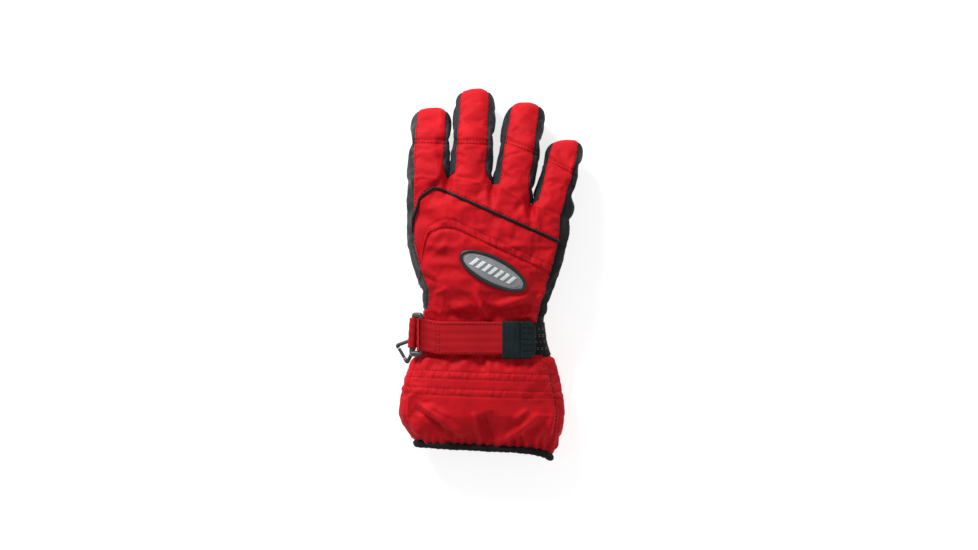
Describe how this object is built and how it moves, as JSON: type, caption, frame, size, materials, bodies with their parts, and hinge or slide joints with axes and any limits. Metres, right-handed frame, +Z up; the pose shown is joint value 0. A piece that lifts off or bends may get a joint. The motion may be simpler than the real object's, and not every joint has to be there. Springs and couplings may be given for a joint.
{
  "type": "ski glove",
  "caption": "Padded ski glove for the right hand: red nylon back with grey finger sides, leather palm, gathered gauntlet, wrist strap with ring and pull tab, and a glove clip.",
  "frame": {"origin": "bottom centre of the bounding box, on the surface the glove lies on palm down", "axes": "+Y from the cuff to the fingertips, +X from the thumb side to the little finger, +Z up out of the back of the hand"},
  "size_m": [0.1452, 0.2873, 0.0557],
  "materials": {
    "nylon_red": "coated woven nylon, matte",
    "textile_grey": "woven stretch textile, matte",
    "lining_black": "brushed knit lining, matte",
    "leather_black": "fine grain leather, satin",
    "webbing_red": "woven webbing, matte",
    "piping_black": "smooth corded piping, satin",
    "elastic_black": "knitted elastic, matte",
    "hook_black": "moulded hook pile, matte",
    "loop_black": "brushed loop pile, matte",
    "tab_rubber": "moulded soft rubber, satin",
    "hardware_grey": "moulded plastic, semi-gloss",
    "badge_rim": "moulded plastic, satin",
    "badge_face": "silver-grey plastic, satin",
    "label_black": "woven label, matte"
  },
  "bodies": {
    "hand": {"palm_leather": "leather_black", "wrist_palm_panel": "nylon_red", "back_panel": "nylon_red", "middle_back_panel": "nylon_red", "knuckle_panel": "nylon_red", "side_panel": "textile_grey", "knuckle_piping": "piping_black", "badge_rim": "badge_rim", "badge_face": "badge_face", "hand_lining": "lining_black", "wrist_elastic": "elastic_black", "strap_base": "webbing_red", "loop_pad": "loop_black", "strap_ring": "hardware_grey", "ring_keeper": "nylon_red", "side_label": "label_black", "clip_loop": "elastic_black"},
    "cuff": {"cuff_back": "nylon_red", "cuff_palm": "nylon_red", "cuff_gusset": "nylon_red", "cuff_lining": "lining_black", "hem_binding": "elastic_black"},
    "index_base": {"index_base_back": "nylon_red", "index_base_palm": "leather_black", "index_base_sides": "textile_grey", "index_lining": "lining_black"},
    "index_tip": {"index_tip_back": "nylon_red", "index_tip_palm": "leather_black", "index_tip_sides": "textile_grey"},
    "middle_base": {"middle_base_back": "nylon_red", "middle_base_palm": "leather_black", "middle_base_sides": "textile_grey", "middle_lining": "lining_black"},
    "middle_tip": {"middle_tip_back": "nylon_red", "middle_tip_palm": "leather_black", "middle_tip_sides": "textile_grey"},
    "ring_base": {"ring_base_back": "nylon_red", "ring_base_palm": "leather_black", "ring_base_sides": "textile_grey", "ring_lining": "lining_black"},
    "ring_tip": {"ring_tip_back": "nylon_red", "ring_tip_palm": "leather_black", "ring_tip_sides": "textile_grey"},
    "little_base": {"little_base_back": "nylon_red", "little_base_palm": "leather_black", "little_base_sides": "textile_grey", "little_lining": "lining_black"},
    "little_tip": {"little_tip_back": "nylon_red", "little_tip_palm": "leather_black", "little_tip_sides": "textile_grey"},
    "thumb_base": {"thumb_base_back": "nylon_red", "thumb_base_palm": "leather_black", "thumb_lining": "lining_black"},
    "thumb_tip": {"thumb_tip_back": "nylon_red", "thumb_tip_palm": "leather_black"},
    "strap_flap": {"strap_flap": "webbing_red", "pull_tab": "tab_rubber", "hook_patch": "hook_black"},
    "clip": {"clip_frame": "hardware_grey"},
    "clip_gate": {"clip_gate": "hardware_grey"}
  },
  "joints": [
    {"name": "wrist_bend", "type": "hinge", "parent": "hand", "child": "cuff", "pos_m": [0, -0.066, 0.0245], "axis": [1, 0, 0], "range_deg": [-24, 24]},
    {"name": "index_knuckle", "type": "hinge", "parent": "hand", "child": "index_base", "pos_m": [-0.0466, 0.0756, 0.0355], "axis": [-1, 0, 0], "range_deg": [-8, 56], "deforming": ["index_lining"]},
    {"name": "index_middle_joint", "type": "hinge", "parent": "index_base", "child": "index_tip", "pos_m": [-0.04525, 0.10257, 0.02568], "axis": [-1, 0, 0], "range_deg": [-4, 56], "deforming": ["index_lining"]},
    {"name": "middle_knuckle", "type": "hinge", "parent": "hand", "child": "middle_base", "pos_m": [-0.0142, 0.0719, 0.036], "axis": [-1, 0, 0], "range_deg": [-8, 56], "deforming": ["middle_lining"]},
    {"name": "middle_middle_joint", "type": "hinge", "parent": "middle_base", "child": "middle_tip", "pos_m": [-0.0127, 0.10184, 0.02798], "axis": [-1, 0, 0], "range_deg": [-4, 56], "deforming": ["middle_lining"]},
    {"name": "ring_knuckle", "type": "hinge", "parent": "hand", "child": "ring_base", "pos_m": [0.0183, 0.0626, 0.036], "axis": [-1, 0, 0], "range_deg": [-8, 56], "deforming": ["ring_lining"]},
    {"name": "ring_middle_joint", "type": "hinge", "parent": "ring_base", "child": "ring_tip", "pos_m": [0.0241, 0.09882, 0.02629], "axis": [-1, 0, 0], "range_deg": [-4, 56], "deforming": ["ring_lining"]},
    {"name": "little_knuckle", "type": "hinge", "parent": "hand", "child": "little_base", "pos_m": [0.0472, 0.0526, 0.0355], "axis": [-1, 0, 0], "range_deg": [-8, 56], "deforming": ["little_lining"]},
    {"name": "little_middle_joint", "type": "hinge", "parent": "little_base", "child": "little_tip", "pos_m": [0.05594, 0.0838, 0.02476], "axis": [-1, 0, 0], "range_deg": [-4, 56], "deforming": ["little_lining"]},
    {"name": "thumb_swing", "type": "hinge", "parent": "hand", "child": "thumb_base", "pos_m": [-0.041, -0.004, 0.0106], "axis": [0, 0, 1], "range_deg": [0, 75]},
    {"name": "thumb_bend", "type": "hinge", "parent": "thumb_base", "child": "thumb_tip", "pos_m": [-0.02278, 0.02108, 0.0106], "axis": [0, 0, -1], "range_deg": [-8, 42], "deforming": ["thumb_lining"]},
    {"name": "strap_open", "type": "hinge", "parent": "hand", "child": "strap_flap", "pos_m": [-0.05312, -0.048, 0.03962], "axis": [0, -1, 0], "range_deg": [0, 150]},
    {"name": "clip_swing", "type": "hinge", "parent": "hand", "child": "clip", "pos_m": [-0.0576, -0.052, 0.019], "axis": [0, 1, 0], "range_deg": [-40, 40]},
    {"name": "clip_gate_open", "type": "hinge", "parent": "clip", "child": "clip_gate", "pos_m": [-0.06923, -0.05778, 0.0161], "axis": [-0.2419, 0, 0.9703], "range_deg": [0, 18], "stiffness_Nm_per_rad": 0.004, "springref_deg": -5.73}
  ]
}
